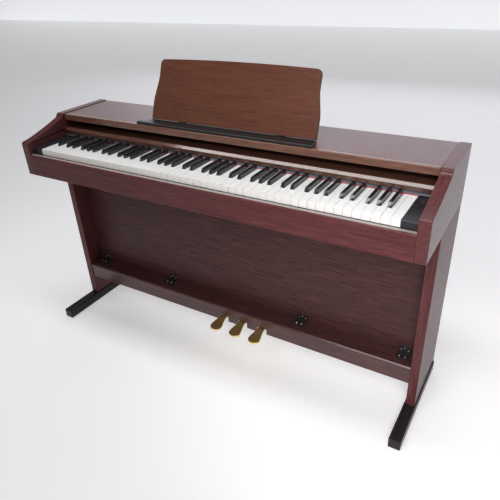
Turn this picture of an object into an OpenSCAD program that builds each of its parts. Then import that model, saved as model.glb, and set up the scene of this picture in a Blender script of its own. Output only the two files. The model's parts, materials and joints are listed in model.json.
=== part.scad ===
// Compact digital piano on its own stand: 88 keys, a sliding key cover, a folding music
// rest and three pedals in a box across the foot of the stand.
// Millimetres, +Z up. The origin is on the floor, under the middle of the instrument.
// The player sits on the -Y side, and +X is the player's right.

/* [Whole instrument] */
// Height of the white keys' tops above the floor
key_z = 711; // [600:1:860]
// Depth from the front of the feet to the back of the case
total_d = 392; // [320:1:480]
// Height of the side boards' tops above the white keys
case_rise = 79; // [72:1:95]
// Depth of the case below the white keys' tops
case_drop = 93; // [90:1:115]

/* [Boards] */
// Thickness of the side boards
side_t = 30; // [24:1:40]
// Thickness of the top board and the rear board
board_t = 15; // [12:1:18]
// Thickness of the case floor
floor_t = 12; // [9:1:15]
// How far the feet reach in front of the arms
foot_lead = 5.5; // [0:0.5:40]
// Height of the arms' front tops above the white keys
arm_rise = 21.5; // [16:0.5:30]
// Thickness of the key slip
slip_t = 16; // [12:1:18]
// Height of the front strip under the top board's edge
strip_h = 21; // [17:1:25]

/* [Keyboard] */
// Distance from one white key to the next
key_pitch = 23.5; // [20:0.1:28.2]
// Gap between neighbouring keys
key_gap = 1; // [0.8:0.1:1.3]
// Length of a white key that the player sees
white_len = 145; // [130:1:174]
// Length of a black key that the player sees
black_len = 94.5; // [80:0.5:105]
// Width of a black key at its foot
black_w = 11; // [9:0.5:12]
// Height of the black keys above the white keys
black_h = 12; // [10:0.5:12.5]
// Height of a white key's front face
white_h = 20; // [16:1:21]
// Distance from the white keys' fronts to the pivot rod
pivot_reach = 215; // [200:1:225]
// Width of the key blocks at the ends of the keyboard
block_w = 43; // [30:1:60]

/* [Key cover] */
// Depth of the cover's front rail
rail_d = 52; // [40:1:60]
// Thickness of the cover's front rail
rail_t = 10; // [9:0.5:12]
// Slope of the cover's grooves, in degrees
cover_slope = 2.33; // [1.5:0.01:2.6]

/* [Music rest] */
// Width of the music rest at its foot
rest_w = 595; // [450:1:720]
// Height of the music rest along its slope
rest_h = 191; // [160:1:235]
// Thickness of the music rest
rest_t = 10; // [8:0.5:12]
// Lean of the raised music rest from upright, in degrees
rest_lean = 20.8; // [12:0.1:30]
// Length of the stay's arms
stay_len = 58; // [45:1:60]

/* [Stand] */
// Thickness of the leg panels
leg_t = 27; // [22:1:30]
// Height of the feet
foot_h = 34; // [28:1:45]
// Width of a foot
foot_w = 36; // [28:1:45]
// Height of the pedal board's top above the floor
pedal_board_z = 176; // [150:1:215]
// Height of the fascia under the pedal board
fascia_h = 42; // [36:1:46]
// Thickness of the back panel
back_t = 15; // [12:1:18]
// Distance from one pedal to the next
pedal_pitch = 77.5; // [64:0.5:93]
// How far the middle pedal stands to the right of the instrument's middle
pedal_shift = 70; // [0:1:80]
// Width of a pedal at its front
pedal_w = 42; // [34:1:50]
// Length of a pedal in front of the fascia
pedal_reach = 63; // [50:1:80]

/* [Hidden] */
$fn = 32;

// Radial play of a pin in its bore, and of a part that slides between others
pin_play = 0.06;
slide_play = 0.6;
// A cut runs this far past the face that it opens
over = 1;

// Widths
key_count = 52;
keys_w = key_count * key_pitch;
keys_x0 = -keys_w / 2;
inner_x = keys_w / 2 + block_w;
outer_x = inner_x + side_t;

// Depths
foot_y = -total_d / 2;
rear_y = total_d / 2;
arm_y = foot_y + foot_lead;
key_front_clear = 3.5;
key_y = arm_y + slip_t + key_front_clear;
felt_y = key_y + white_len;
head_y = felt_y + 6;
strip_y = head_y + 5;
name_y = felt_y + 8;
strip_t = 14;
pivot_y = key_y + pivot_reach;
rear_in_y = rear_y - board_t;

// Heights
low_z = key_z - case_drop;
side_top_z = key_z + case_rise;
top_z = side_top_z - 2.3;
top_under_z = top_z - board_t;
floor_top_z = low_z + floor_t;
pivot_z = key_z - 9;
slip_top_z = key_z - 21;

// Arms and the curve up to the case
arm_round = 8;
curve_steps = 20;
curve_power = 1.25;

// Key parts
felt_h = 3;
felt_under = 1;
ledge_h = 6;
name_h = 9;
key_wall = 2;
key_top_t = 3;
arm_w = 8;
arm_top = 4;
arm_h = 10;
boss_r = 5.5;
rod_r = 2.5;
tail_end_y = felt_y - 0.7;
chassis_z = key_z - white_h - 26;
black_y = key_y + white_len - black_len;
black_slot = black_w / 2 + key_gap;
sharp_front = 7;
whites = [0, 2, 4, 5, 7, 9, 11];

// Key cover, in its own frame: along the slope, and square to it
cover_y = name_y - 6;
cover_z = key_z + black_h + 6.5;
cover_set_back = 10.5;
cover_travel = cover_y - arm_y - cover_set_back;
cover_pin_r = 2.5;
cover_pin_h = 3.5;
cover_pin_front = 11;
cover_end = (rear_in_y - cover_y) - 5;
cover_pin_rear = cover_end - 8;
cover_panel_t = 4;
cover_lap = 12;
groove_deep = 6;

// Music rest
rest_y = strip_y + 79;
rest_z = top_z + 4.8;
rest_off = 4;
rest_foot = 6;
rest_arch = 5;
rest_round = 16;
rest_taper = 14;
rest_wide_h = 44;
rest_pin_r = 2;
knuckle_r = 3.6;
bracket_x = 180;
stay_r = 2.4;
stay_corner_r = 2.8;
base_t = 1.6;
ledge_w = rest_w + 31;
ledge_y = strip_y + 5;
ledge_d = 27;
tray_t = 2;

// Stand
foot_len = total_d - 5;
leg_rear_y = foot_y + foot_len;
leg_y = head_y - 25;
leg_in_x = outer_x - leg_t;
foot_in_x = outer_x + 4 - foot_w;
back_y = leg_y + 69;
pedal_board_y = leg_y + 1.5;
pedal_board_t = 18;
pedal_board_d = 141;
fascia_t = 15;
fascia_y = pedal_board_y + 1.5;
fascia_low_z = pedal_board_z - pedal_board_t - fascia_h;
under_board_z = pedal_board_z - pedal_board_t;
notch_w = pedal_w + 1;
notch_h = 21;
pedal_t = 6;
pedal_root_w = 24;
pedal_droop = 12.5;
pedal_top_z = fascia_low_z + 17.5;
axle_y = fascia_y + 91;
axle_z = pedal_top_z - pedal_t / 2;
axle_r = 4;
pedal_tail = 32;
mount_t = 2;
spring_y = axle_y + 24;

// ---- shared shapes ----

// Extrudes a (y, z) outline along X from x0
module along_x(x0, len) {
    translate([x0, 0, 0])
        rotate([90, 0, 90])
            linear_extrude(height = len)
                children();
}

// Box from its low corner to its high corner
module box(low, high) {
    translate(low)
        cube(high - low);
}

// Round bar along X
module bar_x(x0, len, y, z, r) {
    translate([x0, y, z])
        rotate([0, 90, 0])
            cylinder(h = len, r = r);
}

// Round bar along Z
module bar_z(x, y, z0, len, r) {
    translate([x, y, z0])
        cylinder(h = len, r = r);
}

// Points of an arc about c
function arc(c, r, a0, a1, n) =
    [for (i = [0 : n]) c + r * [cos(a0 + (a1 - a0) * i / n), sin(a0 + (a1 - a0) * i / n)]];

// Smooth step from 0 to 1
function ease(t) = let (u = min(max(t, 0), 1)) u * u * (3 - 2 * u);

// Puts its children in the frame of the key cover
module in_cover() {
    translate([0, cover_y, cover_z])
        rotate([cover_slope, 0, 0])
            children();
}

// Puts its children in the frame of the raised music rest, with its pivot at the origin
module in_rest() {
    translate([0, rest_y, rest_z])
        rotate([-rest_lean, 0, 0])
            children();
}

// ---- case ----

// Outline of a side board, in y and z
function side_outline() =
    let (
        arm_z = key_z + arm_rise,
        start = [arm_y + arm_round, arm_z],
        finish = [head_y - 10, side_top_z - 14],
        curve = [for (i = [1 : curve_steps])
            let (t = i / curve_steps)
            [start[0] + (finish[0] - start[0]) * t,
             start[1] + (finish[1] - start[1]) * pow(t, curve_power)]],
        corner_r = 9
    )
    concat(
        [[rear_y, low_z], [rear_y, side_top_z]],
        arc([head_y + 5, side_top_z - corner_r], corner_r, 90, 152, 6),
        [for (i = [curve_steps - 1 : -1 : 0]) curve[i]],
        arc([arm_y + arm_round, arm_z - arm_round], arm_round, 90, 180, 8),
        [[arm_y, low_z]]
    );

module side_board() {
    difference() {
        along_x(inner_x, side_t)
            polygon(side_outline());
        in_cover()
            cover_groove();
    }
}

// Groove that the cover's pins run in
module cover_groove() {
    half = cover_pin_r + 0.35;
    front = cover_pin_front - cover_travel - 1.5;
    back = cover_pin_rear + 1.5;
    box([inner_x - over, front, cover_pin_h - half],
        [inner_x + groove_deep, back, cover_pin_h + half]);
    bar_x(inner_x - over, groove_deep + over, front, cover_pin_h, half);
    bar_x(inner_x - over, groove_deep + over, back, cover_pin_h, half);
}

module left_side_board() {
    color("#5a2c28")
        mirror([1, 0, 0])
            side_board();
}

module right_side_board() {
    color("#5a2c28")
        side_board();
}

top_gap = 1;

module top_board() {
    color("#6b4a48")
        box([-inner_x + top_gap, strip_y + strip_t, top_under_z],
            [inner_x - top_gap, rear_y, top_z]);
}

module top_front_strip() {
    end_gap = 2;
    edge_r = 3;
    color("#6b3a30")
        along_x(-inner_x + end_gap, 2 * (inner_x - end_gap))
            polygon(concat(
                [[strip_y + strip_t, top_z - strip_h], [strip_y + strip_t, top_z]],
                arc([strip_y + edge_r, top_z - edge_r], edge_r, 90, 180, 6),
                [[strip_y, top_z - strip_h]]
            ));
}

jack_x = 430;
jack_w = 190;
jack_h = 56;
jack_t = 2;
jack_inset = 3;
jack_z = floor_top_z + jack_h / 2 + 4;
plate_play = 0.3;

module rear_board() {
    frame = 8;
    color("#4a2824")
        difference() {
            box([-inner_x, rear_in_y, low_z], [inner_x, rear_y, top_under_z]);
            box([jack_x - jack_w / 2 + frame, rear_in_y - over, jack_z - jack_h / 2 + frame],
                [jack_x + jack_w / 2 - frame, rear_y + over, jack_z + jack_h / 2 - frame]);
            box([jack_x - jack_w / 2 - plate_play, rear_y - jack_t - jack_inset,
                 jack_z - jack_h / 2 - plate_play],
                [jack_x + jack_w / 2 + plate_play, rear_y + over,
                 jack_z + jack_h / 2 + plate_play]);
        }
}

speaker_x = inner_x - 174;
speaker_y = key_y + 99;
speaker_r = 52;
headphone_x = -inner_x + 46;
headphone_y = key_y + 24;
headphone_w = 90;
headphone_d = 34;
headphone_lap = 6;

// Floor of the case: one long board, and two short ones either side of the headphone bay
module bottom_board() {
    bay_end = headphone_x + headphone_w / 2 - headphone_lap;
    saw_gap = 0.4;
    bay_y = headphone_d / 2 - headphone_lap;
    color("#3a2320")
        difference() {
            box([-inner_x, arm_y + slip_t, low_z], [inner_x, rear_in_y, floor_top_z]);
            for (side = [-1, 1])
                bar_z(side * speaker_x, speaker_y, low_z - over, floor_t + 2 * over, speaker_r);
            box([-inner_x - over, headphone_y - bay_y, low_z - over],
                [bay_end, headphone_y + bay_y, floor_top_z + over]);
            box([bay_end - saw_gap, arm_y, low_z - over],
                [bay_end, rear_in_y + over, floor_top_z + over]);
        }
}

module key_slip() {
    edge_r = 4;
    color("#6b3430")
        along_x(-inner_x, 2 * inner_x)
            polygon(concat(
                [[arm_y + slip_t, low_z], [arm_y + slip_t, slip_top_z]],
                arc([arm_y + edge_r, slip_top_z - edge_r], edge_r, 90, 180, 6),
                [[arm_y, low_z]]
            ));
}

slider_x = -(keys_w / 2 + block_w / 2);
slider_slot_w = 4;
slider_y0 = key_y + 96;
slider_y1 = key_y + 128;
button_x = keys_w / 2 + block_w / 2;
button_y = key_y + 116;
button_r = 6.5;
button_h = 9;

// Key block, for the right end
module key_block_shape() {
    edge_r = 3;
    along_x(keys_w / 2 + key_gap, block_w - key_gap)
        polygon(concat(
            [[felt_y, key_z - 26], [felt_y, key_z - 0.5]],
            arc([key_y + edge_r, key_z - 0.5 - edge_r], edge_r, 90, 180, 5),
            [[key_y, key_z - 26]]
        ));
}

module left_key_block() {
    color("#17171a")
        difference() {
            mirror([1, 0, 0])
                key_block_shape();
            box([slider_x - slider_slot_w / 2, slider_y0, key_z - 27],
                [slider_x + slider_slot_w / 2, slider_y1, key_z + over]);
        }
}

module right_key_block() {
    color("#17171a")
        difference() {
            key_block_shape();
            bar_z(button_x, button_y, key_z - 27, 27 + over, button_r + 0.4);
        }
}

module volume_slider() {
    grip_y = slider_y0 + 7;
    color("#2a2a2e")
        union() {
            box([slider_x - 1.2, grip_y - 2, key_z - 24], [slider_x + 1.2, grip_y + 2, key_z]);
            box([slider_x - 4, grip_y - 4.5, key_z], [slider_x + 4, grip_y + 4.5, key_z + 3]);
        }
}

module power_button() {
    color("#2a2a2e")
        bar_z(button_x, button_y, key_z + 1 - button_h, button_h, button_r);
}

module name_strip() {
    color("#5f3a30")
        box([-inner_x, name_y, key_z + 2 + ledge_h],
            [inner_x, name_y + 16, key_z + 2 + ledge_h + name_h]);
}

module key_ledge() {
    low = key_z + 2;
    color("#4a5058")
        along_x(-inner_x, 2 * inner_x)
            polygon([[felt_y + 0.5, low], [felt_y + 22, low], [felt_y + 22, low + ledge_h],
                     [name_y - 1, low + ledge_h]]);
}

module red_felt() {
    color("#8a1420")
        box([-keys_w / 2, felt_y, key_z - felt_under],
            [keys_w / 2, felt_y + 5, key_z - felt_under + felt_h]);
}

// ---- keyboard ----

octave_w = 7 * key_pitch;
front_slot = 3 * key_pitch / 5;
back_slot = 4 * key_pitch / 7;

// Left edge of an octave, where octave 0 holds only its A and B
function octave_x(octave) = keys_x0 + 2 * key_pitch + (octave - 1) * octave_w;

// Middle of a semitone's place in its octave
function semitone_x(n) =
    n < 5 ? (n + 0.5) * front_slot : 3 * key_pitch + (n - 4.5) * back_slot;

// Left and right side of a white key's tail, where first and last have a neighbour missing
function tail_left(i, first) =
    i == 0 || i == 3 || first
        ? i * key_pitch + key_gap / 2
        : semitone_x(whites[i] - 1) + black_slot;
function tail_right(i, last) =
    i == 2 || i == 6 || last
        ? (i + 1) * key_pitch - key_gap / 2
        : semitone_x(whites[i] + 1) - black_slot;

// Arm and boss that carry a key on the pivot rod, about x
module key_arm(x, y0) {
    difference() {
        union() {
            box([x - arm_w / 2, y0, key_z - arm_top - arm_h],
                [x + arm_w / 2, pivot_y, key_z - arm_top]);
            bar_x(x - arm_w / 2, arm_w, pivot_y, pivot_z, boss_r);
        }
        bar_x(x - arm_w, 2 * arm_w, pivot_y, pivot_z, rod_r + pin_play);
    }
}

module white_key(octave, i, first = false, last = false) {
    x0 = octave_x(octave);
    head0 = x0 + i * key_pitch + key_gap / 2;
    head1 = x0 + (i + 1) * key_pitch - key_gap / 2;
    tail0 = x0 + tail_left(i, first);
    tail1 = x0 + tail_right(i, last);
    low = key_z - white_h;
    roof = key_z - key_top_t;
    head_y1 = black_y - key_gap;
    difference() {
        union() {
            box([head0, key_y, low], [head1, head_y1, key_z]);
            box([tail0, key_y, low], [tail1, tail_end_y, key_z]);
        }
        box([head0 + key_wall, key_y + key_wall, low - over],
            [head1 - key_wall, head_y1 - key_wall, roof]);
        box([tail0 + key_wall, key_y + key_wall, low - over],
            [tail1 - key_wall, tail_end_y - key_wall, roof]);
    }
    key_arm((tail0 + tail1) / 2, tail_end_y - key_wall);
}

module black_key(octave, n) {
    x = octave_x(octave) + semitone_x(n);
    low = key_z - white_h + 4;
    top = key_z + black_h;
    foot = black_w / 2;
    crown = foot - 0.8;
    difference() {
        intersection() {
            along_x(x - foot, 2 * foot)
                polygon([[black_y, low], [tail_end_y, low], [tail_end_y, top],
                         [black_y + sharp_front + 1.5, top],
                         [black_y + sharp_front, top - 1],
                         [black_y, key_z - 1]]);
            translate([x, tail_end_y + over, 0])
                rotate([90, 0, 0])
                    linear_extrude(height = black_len + 2 * over)
                        polygon([[-foot, low], [foot, low], [foot, key_z], [crown, top - 1],
                                 [crown - 1, top], [1 - crown, top], [-crown, top - 1],
                                 [-foot, key_z]]);
        }
        box([x - foot + key_wall, black_y + key_wall, low - over],
            [x + foot - key_wall, tail_end_y - key_wall, key_z - key_top_t]);
    }
    key_arm(x, tail_end_y - key_wall);
}

// Semitones of the black keys, and the first and last octave of a stretch of keys
blacks = [1, 3, 6, 8, 10];

module white_run(first_octave, last_octave) {
    color("#f2f0ea")
        union() {
            for (octave = [first_octave : last_octave], i = [0 : 6])
                white_key(octave, i);
            children();
        }
}

module black_run(first_octave, last_octave) {
    color("#0d0d10")
        union() {
            for (octave = [first_octave : last_octave], n = blacks)
                black_key(octave, n);
            children();
        }
}

module white_keys_low() {
    white_run(1, 3) {
        white_key(0, 5, first = true);
        white_key(0, 6);
    }
}

module black_keys_low() {
    black_run(1, 3)
        black_key(0, 10);
}

module white_keys_high() {
    white_run(5, 7)
        white_key(8, 0, last = true);
}

module black_keys_high() {
    black_run(5, 7);
}

middle = 4;

module middle_white(i) {
    color("#f2f0ea")
        white_key(middle, i);
}

module middle_black(n) {
    color("#0d0d10")
        black_key(middle, n);
}

// Places of the chassis' posts, in the gaps between octaves
post_t = 3;
post_x = [for (octave = [1 : 8]) octave_x(octave)];

module key_chassis() {
    low = chassis_z;
    beam_x = keys_w / 2 - 6;
    front_y = key_y + 8;
    back_y1 = pivot_y + 12;
    color("#6f7276")
        union() {
            box([-beam_x, front_y, low], [beam_x, front_y + 22, key_z - white_h - 13]);
            box([-beam_x, front_y + 85, low], [beam_x, front_y + 105, low + 4]);
            box([-beam_x, pivot_y - 12, low], [beam_x, back_y1, key_z - 24]);
            difference() {
                for (x = post_x)
                    box([x - post_t / 2, pivot_y - 8, key_z - 25],
                        [x + post_t / 2, pivot_y + 8, key_z - 1]);
                bar_x(keys_x0, keys_w, pivot_y, pivot_z, rod_r + pin_play);
            }
            for (i = [-3 : 3])
                box([i * beam_x / 3.2 - 12, front_y, low - 3],
                    [i * beam_x / 3.2 + 12, back_y1, low]);
            for (i = [-3, -1, 1, 3], y = [front_y + 11, pivot_y])
                bar_z(i * beam_x / 3.2, y, floor_top_z, low - 2 - floor_top_z, 8);
        }
}

module key_pivot_rod() {
    rod_end = 8;
    color("#b8bcc0")
        bar_x(keys_x0 - rod_end / 2, keys_w + rod_end, pivot_y, pivot_z, rod_r);
}

module circuit_boards() {
    strip_low = chassis_z + 4;
    main_y = rear_in_y - 74;
    color("#1f6b3a")
        union() {
            // Contact strip under the keys, with its rubber domes
            box([-keys_w / 2 + 10, key_y + 95, strip_low], [keys_w / 2 - 10, key_y + 113,
                 strip_low + 1.6]);
            for (i = [0 : key_count - 1])
                bar_z(keys_x0 + (i + 0.5) * key_pitch, key_y + 104, strip_low + 1.6, 4.5, 3);
        }
    color("#1f6b3a")
        circuit_board(-140, main_y, 200, 66);
    color("#1f6b3a")
        circuit_board(210, main_y, 120, 66);
}

// A board on four standoffs, with its large components
module circuit_board(x0, y0, w, d) {
    low = floor_top_z + 8;
    for (x = [x0 + 8, x0 + w - 8], y = [y0 + 8, y0 + d - 8])
        bar_z(x, y, floor_top_z, 8, 3);
    box([x0, y0, low], [x0 + w, y0 + d, low + 1.6]);
    box([x0 + w * 0.2, y0 + d * 0.3, low + 1.6], [x0 + w * 0.2 + 28, y0 + d * 0.3 + 28, low + 5]);
    box([x0 + w * 0.55, y0 + d * 0.25, low + 1.6], [x0 + w * 0.55 + 34, y0 + d * 0.25 + 22,
         low + 20]);
    for (i = [0 : 2])
        bar_z(x0 + w * 0.2 + 18 * i, y0 + d - 12, low + 1.6, 14, 5);
}

// ---- key cover ----

// Rail at the cover's front: its nose slants down from the top in one broad flat
module cover_rail() {
    half = inner_x - slide_play;
    slant = 127;
    crown_r = 3;
    lip_r = 2;
    pin_len = 7;
    color("#6b3a30")
        in_cover()
            difference() {
                along_x(-half, 2 * half)
                    polygon(concat(
                        [[rail_d, cover_panel_t], [rail_d, rail_t]],
                        arc([rail_t + 0.3, rail_t - crown_r], crown_r, 90, slant, 3),
                        arc([lip_r, lip_r], lip_r, slant, 270, 7),
                        [[rail_d - cover_lap, 0], [rail_d - cover_lap, cover_panel_t]]
                    ));
                for (x = [-half - over, half - pin_len])
                    bar_x(x, pin_len + over, cover_pin_front, cover_pin_h, cover_pin_r);
            }
}

module cover_panel() {
    half = inner_x - slide_play;
    stiff_d = 16;
    pin_len = 7;
    color("#1c1614")
        in_cover()
            difference() {
                union() {
                    box([-half, rail_d - cover_lap, 0], [half, cover_end, cover_panel_t]);
                    box([-half, cover_end - stiff_d, 0], [half, cover_end, 9]);
                }
                for (x = [-half - over, half - pin_len])
                    bar_x(x, pin_len + over, cover_pin_rear, cover_pin_h, cover_pin_r);
            }
}

module cover_pins() {
    half = inner_x - slide_play;
    pin_len = 7;
    reach = slide_play + groove_deep - 1;
    color("#d8d8d2")
        in_cover()
            for (y = [cover_pin_front, cover_pin_rear]) {
                bar_x(-half - reach, pin_len + reach, y, cover_pin_h, cover_pin_r);
                bar_x(half - pin_len, pin_len + reach, y, cover_pin_h, cover_pin_r);
            }
}

// ---- music rest ----

// Half width of the rest at a height along its slope
function rest_half(s) = rest_w / 2 - rest_taper * ease((s - rest_wide_h) / (rest_h * 0.49));

// One side of the rest's outline, from its foot to the round top corner
rest_side = concat(
    [for (i = [0 : 12])
        let (s = -rest_foot + (rest_h - rest_round) * i / 12)
        [rest_half(s), s]],
    arc([rest_half(rest_h) - rest_round, rest_h - rest_foot - rest_round], rest_round, 15, 82, 5)
);

// Arched top edge
rest_top_half = rest_half(rest_h) - rest_round - 2;
rest_top = [for (i = [1 : 15])
    let (x = rest_top_half * (1 - i / 8))
    [x, rest_h - rest_foot + rest_arch * (1 - pow(x / rest_top_half, 2))]];

module music_rest() {
    count = len(rest_side);
    color("#6e4a40")
        in_rest()
            translate([0, -rest_off, 0])
                rotate([90, 0, 0])
                    linear_extrude(height = rest_t)
                        polygon(concat(
                            rest_side,
                            rest_top,
                            [for (i = [count - 1 : -1 : 0]) [-rest_side[i][0], rest_side[i][1]]]
                        ));
}

knuckle_len = 14;
lug_t = 2.3;
plate_w = 18;

module rest_brackets() {
    color("#3a3c40")
        in_rest()
            for (side = [-1, 1])
                translate([side * bracket_x, 0, 0])
                    rest_bracket(side);
}

// Bracket on the rest's back: a knuckle for the hinge pin and a lug for the stay
module rest_bracket(side) {
    lug = 6;
    plate_x = side > 0 ? 177 - bracket_x : bracket_x - 177 - plate_w;
    difference() {
        union() {
            box([plate_x, -rest_off, 6], [plate_x + plate_w, -rest_off + 2, stay_len + 16]);
            box([-knuckle_len / 2, -rest_off, -3], [knuckle_len / 2, -rest_off + 2, 8]);
            box([-knuckle_len / 2, -rest_off, -3], [knuckle_len / 2, 0, 3]);
            bar_x(-knuckle_len / 2, knuckle_len, 0, 0, knuckle_r);
            box([side * 3 - lug / 2, -rest_off, stay_len - 3], [side * 3 + lug / 2, 0,
                 stay_len + 3]);
            bar_x(side * 3 - lug / 2, lug, 0, stay_len, 3.5);
        }
        bar_x(-knuckle_len, 2 * knuckle_len, 0, 0, rest_pin_r + pin_play);
        bar_x(side * 3 - lug, 2 * lug, 0, stay_len, rest_pin_r + pin_play);
    }
}

// Angles of the rest, from upright, that the stay's notches hold
notch_leans = [rest_lean, rest_lean + 12, rest_lean + 24];

// Plate on the top board with the hinge pin's lugs and the stay's notches
module rest_base_plates() {
    top = top_z + base_t;
    pin_reach = knuckle_len / 2 + 0.5 + lug_t;
    color("#3a3c40")
        for (side = [-1, 1])
            translate([side * bracket_x, rest_y, 0])
                union() {
                    difference() {
                        box([-15, -4.6, top_z], [15, 2 * stay_len + 12, top]);
                        box([-knuckle_len / 2 - 0.5, -6, top_z - over],
                            [knuckle_len / 2 + 0.5, 8, top + over]);
                        for (lean = notch_leans)
                            bar_x(-16, 32, 2 * stay_len * sin(lean), top + stay_r - 0.7,
                                  stay_r + 0.2);
                    }
                    for (x = [-pin_reach, pin_reach - lug_t]) {
                        box([x, -3.5, top_z], [x + lug_t, 3.5, rest_z]);
                        bar_x(x, lug_t, 0, rest_z, 3.5);
                    }
                    bar_x(-pin_reach, 2 * pin_reach, 0, rest_z, rest_pin_r);
                }
}

// Bent wire that props the rest: two arms and the foot between them
module rest_stay() {
    arm_x = bracket_x - 8;
    pin_x = bracket_x + 7;
    color("#b8bcc0")
        translate([0, rest_y + stay_len * sin(rest_lean), rest_z + stay_len * cos(rest_lean)])
            union() {
                for (side = [-1, 1]) {
                    translate([side * arm_x, 0, 0])
                        rotate([180 + rest_lean, 0, 0])
                            cylinder(h = stay_len, r = stay_r);
                    translate([side * arm_x, 0, 0])
                        sphere(r = stay_corner_r);
                    bar_x(side > 0 ? arm_x : -pin_x, pin_x - arm_x, 0, 0, rest_pin_r);
                }
                translate([0, stay_len * sin(rest_lean), -stay_len * cos(rest_lean)]) {
                    bar_x(-arm_x, 2 * arm_x, 0, 0, stay_r);
                    for (side = [-1, 1])
                        translate([side * arm_x, 0, 0])
                            sphere(r = stay_corner_r);
                }
            }
}

module music_ledge() {
    back = ledge_y + ledge_d;
    color("#222428")
        union() {
            along_x(-ledge_w / 2, ledge_w)
                polygon([[ledge_y, top_z], [ledge_y, top_z + 5.4], [ledge_y + 1, top_z + 7],
                         [ledge_y + 3, top_z + 8], [ledge_y + 6, top_z + 8.2],
                         [back - 2, top_z + 5.6], [back, top_z + 4.2], [back, top_z]]);
            box([-rest_w / 2, back - over, top_z], [rest_w / 2, rest_y - 12, top_z + tray_t]);
        }
}

// ---- sound and sockets ----

module speakers() {
    color("#2c2c30")
        for (side = [-1, 1])
            translate([side * speaker_x, speaker_y, floor_top_z])
                rotate_extrude($fn = 48)
                    polygon([[0, 0.5], [speaker_r - 12, 0.5], [speaker_r - 12, 2],
                             [speaker_r - 1, 0], [speaker_r + 8, 0], [speaker_r + 8, 3],
                             [speaker_r - 2, 4], [30, 20], [30, 30], [0, 30]]);
}

module speaker_grilles() {
    rings = 3;
    color("#141416")
        for (side = [-1, 1])
            translate([side * speaker_x, speaker_y, low_z - 2])
                difference() {
                    cylinder(h = 2, r = speaker_r + 7, $fn = 48);
                    for (ring = [1 : rings], i = [0 : 6 * ring - 1])
                        rotate([0, 0, 60 * i / ring])
                            translate([14 * ring, 0, -over])
                                cylinder(h = 2 + 2 * over, r = 4, $fn = 16);
                    translate([0, 0, -over])
                        cylinder(h = 2 + 2 * over, r = 4, $fn = 16);
                }
}

socket_r = 3.25;
socket_len = 16;
inlet_r = 2.8;

// Where the rear sockets are, from the panel's middle
rear_socket_x = [-60, -35, -10, 15];
inlet_x = 62;

module jack_panel() {
    back = rear_y - jack_inset;
    color("#1a1a1c")
        difference() {
            union() {
                box([jack_x - jack_w / 2, back - jack_t, jack_z - jack_h / 2],
                    [jack_x + jack_w / 2, back, jack_z + jack_h / 2]);
                for (x = rear_socket_x)
                    socket_body(jack_x + x, back, 14);
                socket_body(jack_x + inlet_x, back, 14);
            }
            for (x = rear_socket_x)
                socket_bore(jack_x + x, back, socket_r);
            socket_bore(jack_x + inlet_x, back, inlet_r);
        }
}

// Housing behind a rear socket
module socket_body(x, back, w) {
    box([x - w / 2, back - socket_len - 3, jack_z - 8], [x + w / 2, back, jack_z + 8]);
}

// Bore of a rear socket, open at the back
module socket_bore(x, back, r) {
    translate([x, back + over, jack_z])
        rotate([90, 0, 0])
            cylinder(h = socket_len + over, r = r);
}

headphone_gap = 24;

module headphone_plate() {
    low = low_z - 1.5;
    color("#1a1a1c")
        difference() {
            union() {
                box([headphone_x - headphone_w / 2, headphone_y - headphone_d / 2, low],
                    [headphone_x + headphone_w / 2, headphone_y + headphone_d / 2, low_z]);
                for (side = [-1, 1])
                    box([headphone_x + side * headphone_gap / 2 - 8, headphone_y - 8, low],
                        [headphone_x + side * headphone_gap / 2 + 8, headphone_y + 8,
                         low + socket_len + 3]);
            }
            for (side = [-1, 1])
                bar_z(headphone_x + side * headphone_gap / 2, headphone_y, low - over,
                      socket_len + over, socket_r);
        }
}

// ---- stand ----

module leg() {
    box([leg_in_x, leg_y, foot_h], [outer_x, leg_rear_y, low_z]);
}

module left_leg() {
    color("#6b3a36")
        mirror([1, 0, 0])
            leg();
}

module right_leg() {
    color("#6b3a36")
        leg();
}

module feet() {
    color("#2c2220")
        for (side = [0, 1])
            mirror([side, 0, 0])
                box([foot_in_x, foot_y, 0], [foot_in_x + foot_w, leg_rear_y, foot_h]);
}

module back_panel() {
    color("#5a3430")
        box([-leg_in_x, back_y, pedal_board_z], [leg_in_x, back_y + back_t, low_z]);
}

board_chamfer = 4.5;

module pedal_board() {
    color("#3c2622")
        along_x(-leg_in_x, 2 * leg_in_x)
            polygon([[pedal_board_y, under_board_z],
                     [pedal_board_y, pedal_board_z - board_chamfer],
                     [pedal_board_y + board_chamfer, pedal_board_z],
                     [pedal_board_y + pedal_board_d, pedal_board_z],
                     [pedal_board_y + pedal_board_d, under_board_z]]);
}

module pedal_fascia() {
    back = pedal_board_y + pedal_board_d;
    color("#4a2a26")
        union() {
            difference() {
                box([-leg_in_x, fascia_y, fascia_low_z], [leg_in_x, fascia_y + fascia_t,
                     under_board_z]);
                for (i = [-1 : 1])
                    box([pedal_shift + i * pedal_pitch - notch_w / 2, fascia_y - over,
                         fascia_low_z - over],
                        [pedal_shift + i * pedal_pitch + notch_w / 2, fascia_y + fascia_t + over,
                         fascia_low_z + notch_h]);
            }
            box([-leg_in_x, back - fascia_t, fascia_low_z], [leg_in_x, back, under_board_z]);
        }
}

// One side of a pedal's plan, from its tail to the middle of its round front
pedal_nose = 14;
function pedal_side() =
    let (
        root = pedal_root_w / 2,
        front = pedal_w / 2,
        flare_len = pedal_reach - pedal_nose,
        flare = [for (i = [0 : 8])
            [root + (front - root) * ease(i / 8), fascia_y - flare_len * i / 8]],
        nose = [for (i = [1 : 11])
            let (a = 90 * i / 12)
            [front * cos(a), fascia_y - flare_len - pedal_nose * sin(a)]]
    )
    concat([[root, axle_y + pedal_tail]], flare, nose);

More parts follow.
